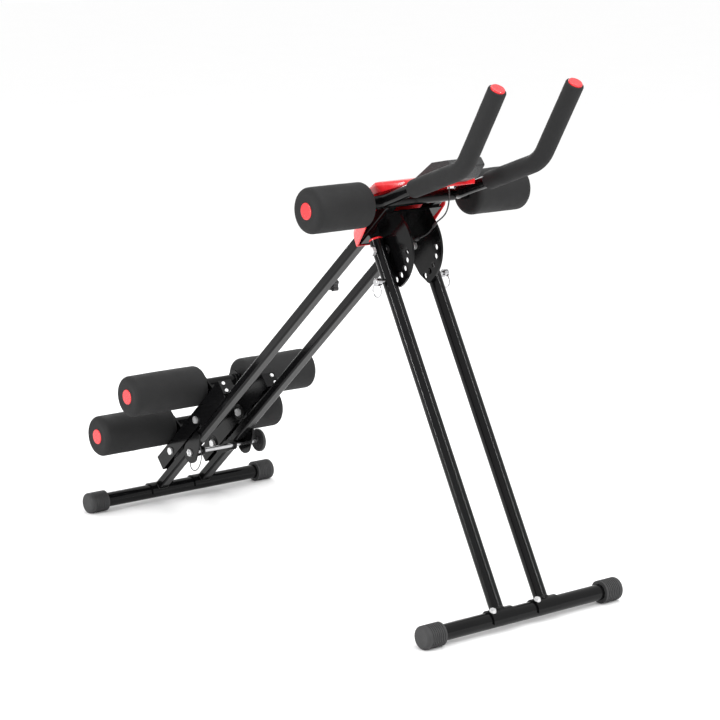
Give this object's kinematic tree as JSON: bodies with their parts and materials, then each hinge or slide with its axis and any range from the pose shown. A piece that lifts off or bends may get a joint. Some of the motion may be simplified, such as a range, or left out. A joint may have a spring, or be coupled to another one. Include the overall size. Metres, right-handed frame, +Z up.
{
  "type": "sliding abdominal trainer bench",
  "caption": "Folding sloped exercise bench with rails, a wheeled roller carriage, foam elbow rollers, bent handlebars, hinged front legs and a small console.",
  "frame": {"origin": "centre of the whole object's box, on the floor", "axes": "+X to the right across the bench, +Y from the handlebars back to the rear foot, +Z up"},
  "size_m": [0.537, 1.2168, 1.0372],
  "materials": {
    "black_paint": "gloss",
    "end_rubber": "matt, ribbed",
    "foam": "matt, fine-celled",
    "red_plastic": "gloss",
    "bright_steel": "bright",
    "black_plastic": "satin",
    "cord_sheath": "satin",
    "screen_glass": "gloss",
    "button_plastic": "gloss"
  },
  "bodies": {
    "frame": {"left_rail": "black_paint", "right_rail": "black_paint", "head_bracket": "black_paint", "left_sector_plate": "black_paint", "right_sector_plate": "black_paint", "hinge_lugs": "black_paint", "pivot_bolts": "bright_steel", "pivot_bushes": "black_plastic", "left_handlebar": "black_paint", "right_handlebar": "black_paint", "left_grip": "foam", "right_grip": "foam", "grip_plugs": "red_plastic", "elbow_cross_bar": "black_paint", "elbow_red_caps": "red_plastic", "cowl": "red_plastic", "console_housing": "black_plastic", "console_screen": "screen_glass", "cable": "cord_sheath", "cable_connector": "black_plastic", "cable_socket": "black_plastic", "lanyard": "cord_sheath"},
    "front_legs": {"left_front_leg": "black_paint", "right_front_leg": "black_paint", "front_foot": "black_paint", "front_foot_caps": "end_rubber", "saddles": "black_paint", "foot_bolts": "bright_steel", "leg_plugs": "red_plastic"},
    "tail_legs": {"left_tail_leg": "black_paint", "right_tail_leg": "black_paint", "rear_foot": "black_paint", "rear_foot_caps": "end_rubber", "hinge_eyes": "black_paint"},
    "hinge_rod": {"hinge_rod": "bright_steel", "rod_knob": "black_plastic"},
    "carriage": {"carriage_inner_sides": "black_paint", "carriage_outer_sides": "black_paint", "carriage_end_plates": "black_paint", "cross_tubes": "black_paint", "carriage_red_caps": "red_plastic", "wheel_bolts": "bright_steel", "end_screws": "bright_steel"},
    "star_knob": {"star_knob": "black_plastic", "knob_stud": "bright_steel"},
    "console_button": {"console_button": "button_plastic"},
    "left_pin": {"left_pin": "bright_steel"},
    "right_pin": {"right_pin": "bright_steel"},
    "left_ring": {"left_ring": "bright_steel"},
    "right_ring": {"right_ring": "bright_steel"},
    "left_lower_wheel": {"left_lower_wheel": "black_plastic"},
    "left_upper_wheel": {"left_upper_wheel": "black_plastic"},
    "left_lower_foam": {"left_lower_foam": "foam"},
    "left_upper_foam": {"left_upper_foam": "foam"},
    "left_elbow_foam": {"left_elbow_foam": "foam"},
    "right_lower_wheel": {"right_lower_wheel": "black_plastic"},
    "right_upper_wheel": {"right_upper_wheel": "black_plastic"},
    "right_lower_foam": {"right_lower_foam": "foam"},
    "right_upper_foam": {"right_upper_foam": "foam"},
    "right_elbow_foam": {"right_elbow_foam": "foam"}
  },
  "joints": [
    {"name": "front_leg_fold", "type": "hinge", "parent": "frame", "child": "front_legs", "pos_m": [0, -0.20721, 0.67939], "axis": [1, 0, 0], "range_deg": [-66, 77]},
    {"name": "tail_fold", "type": "hinge", "parent": "frame", "child": "tail_legs", "pos_m": [0, 0.43491, 0.14232], "axis": [-1, 0, 0], "range_deg": [0, 140]},
    {"name": "hinge_rod_pull", "type": "slide", "parent": "frame", "child": "hinge_rod", "axis": [1, 0, 0], "range_m": [0, 0.06]},
    {"name": "carriage_slide", "type": "slide", "parent": "frame", "child": "carriage", "axis": [0, -0.742, 0.6704], "range_m": [0, 0.42]},
    {"name": "stop_knob_turn", "type": "hinge", "parent": "frame", "child": "star_knob", "pos_m": [0, -0.02802, 0.58162], "axis": [1, 0, 0], "continuous": true},
    {"name": "console_button_press", "type": "slide", "parent": "frame", "child": "console_button", "axis": [0, -0.5812, -0.8137], "range_m": [0, 0.0012], "stiffness_N_per_m": 300, "springref_m": -0.001},
    {"name": "left_pin_pull", "type": "slide", "parent": "front_legs", "child": "left_pin", "axis": [-1, 0, 0], "range_m": [-0.009, 0.025]},
    {"name": "left_ring_swing", "type": "hinge", "parent": "left_pin", "child": "left_ring", "pos_m": [-0.0869, -0.23853, 0.61978], "axis": [0, 1, 0], "range_deg": [-10, 60]},
    {"name": "left_lower_wheel_spin", "type": "hinge", "parent": "carriage", "child": "left_lower_wheel", "pos_m": [-0.0576, 0.5117, 0.13035], "axis": [1, 0, 0], "range_deg": [-1, 1417]},
    {"name": "left_upper_wheel_spin", "type": "hinge", "parent": "carriage", "child": "left_upper_wheel", "pos_m": [-0.0576, 0.41079, 0.22153], "axis": [1, 0, 0], "range_deg": [-1, 1417]},
    {"name": "left_lower_foam_spin", "type": "hinge", "parent": "carriage", "child": "left_lower_foam", "pos_m": [0, 0.55327, 0.18039], "axis": [1, 0, 0], "continuous": true},
    {"name": "left_upper_foam_spin", "type": "hinge", "parent": "carriage", "child": "left_upper_foam", "pos_m": [0, 0.42869, 0.29295], "axis": [1, 0, 0], "continuous": true},
    {"name": "left_elbow_foam_spin", "type": "hinge", "parent": "frame", "child": "left_elbow_foam", "pos_m": [0, -0.24912, 0.78141], "axis": [1, 0, 0], "continuous": true},
    {"name": "right_pin_pull", "type": "slide", "parent": "front_legs", "child": "right_pin", "axis": [1, 0, 0], "range_m": [-0.009, 0.025]},
    {"name": "right_ring_swing", "type": "hinge", "parent": "right_pin", "child": "right_ring", "pos_m": [0.0869, -0.23853, 0.61978], "axis": [0, -1, 0], "range_deg": [-10, 60]},
    {"name": "right_lower_wheel_spin", "type": "hinge", "parent": "carriage", "child": "right_lower_wheel", "pos_m": [0.0576, 0.5117, 0.13035], "axis": [1, 0, 0], "range_deg": [-1, 1417]},
    {"name": "right_upper_wheel_spin", "type": "hinge", "parent": "carriage", "child": "right_upper_wheel", "pos_m": [0.0576, 0.41079, 0.22153], "axis": [1, 0, 0], "range_deg": [-1, 1417]},
    {"name": "right_lower_foam_spin", "type": "hinge", "parent": "carriage", "child": "right_lower_foam", "pos_m": [0, 0.55327, 0.18039], "axis": [1, 0, 0], "continuous": true},
    {"name": "right_upper_foam_spin", "type": "hinge", "parent": "carriage", "child": "right_upper_foam", "pos_m": [0, 0.42869, 0.29295], "axis": [1, 0, 0], "continuous": true},
    {"name": "right_elbow_foam_spin", "type": "hinge", "parent": "frame", "child": "right_elbow_foam", "pos_m": [0, -0.24912, 0.78141], "axis": [1, 0, 0], "continuous": true}
  ],
  "couplings": [
    {"joint": "left_lower_wheel_spin", "follows": "carriage_slide", "rad_per_m": 58.824},
    {"joint": "left_upper_wheel_spin", "follows": "carriage_slide", "rad_per_m": 58.824},
    {"joint": "right_lower_wheel_spin", "follows": "carriage_slide", "rad_per_m": 58.824},
    {"joint": "right_upper_wheel_spin", "follows": "carriage_slide", "rad_per_m": 58.824}
  ]
}
